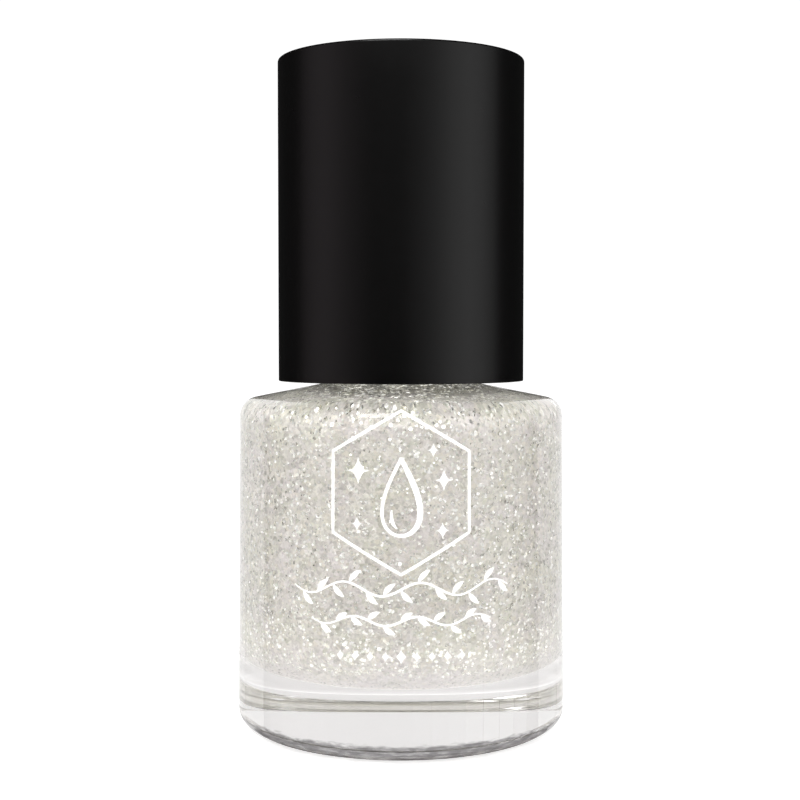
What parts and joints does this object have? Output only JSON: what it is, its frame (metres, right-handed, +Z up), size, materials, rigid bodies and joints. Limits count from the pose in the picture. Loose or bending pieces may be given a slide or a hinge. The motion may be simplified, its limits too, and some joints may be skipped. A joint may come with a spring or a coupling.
{
  "type": "nail polish bottle",
  "caption": "Round clear glass nail polish bottle with a thick base, filled with silver glitter polish, under a tall plain black screw cap that carries the brush.",
  "frame": {"origin": "centre of the base, on the plane that the bottle stands on", "axes": "+Z up along the bottle's axis, -Y towards the printed front, +X to the viewer's right"},
  "size_m": [0.0264, 0.0264, 0.0538],
  "materials": {
    "clear_glass": "clear, fire polished",
    "glitter_polish": "dense fine silver and champagne glitter in clear lacquer",
    "ball_steel": "polished",
    "black_plastic": "smooth gloss",
    "dark_plastic": "fine moulded satin",
    "white_liner": "foamed polyethylene",
    "white_plastic": "satin moulded",
    "nylon": "fine filaments",
    "staple_brass": "drawn wire",
    "white_ink": "screen-printed ink on the glass"
  },
  "bodies": {
    "bottle": {"bottle": "clear_glass", "polish": "glitter_polish"},
    "ball_1": {"mixing_ball_1": "ball_steel"},
    "ball_2": {"mixing_ball_2": "ball_steel"},
    "washer": {"washer": "white_liner"},
    "brush": {"wand": "white_plastic", "bristles": "nylon", "staple": "staple_brass"},
    "cap": {"overcap": "black_plastic", "inner_cap": "dark_plastic"}
  },
  "joints": [
    {"name": "cap_lift", "type": "slide", "parent": "bottle", "child": "washer", "axis": [0, 0, 1], "range_m": [0, 0.048]},
    {"name": "thread_rise", "type": "slide", "parent": "washer", "child": "brush", "axis": [0, 0, 1], "range_m": [0, 0.0032]},
    {"name": "cap_turn", "type": "hinge", "parent": "brush", "child": "cap", "pos_m": [0, 0, 0.04], "axis": [0, 0, 1], "range_deg": [0, 540]},
    {"name": "ball_1_roll", "type": "hinge", "parent": "bottle", "child": "ball_1", "pos_m": [0, 0, 0.007], "axis": [0, 0, 1], "range_deg": [-70, 70]},
    {"name": "ball_2_roll", "type": "hinge", "parent": "bottle", "child": "ball_2", "pos_m": [0, 0, 0.007], "axis": [0, 0, 1], "range_deg": [-70, 70]}
  ],
  "couplings": [
    {"joint": "thread_rise", "follows": "cap_turn", "m_per_rad": 0.00033693}
  ]
}
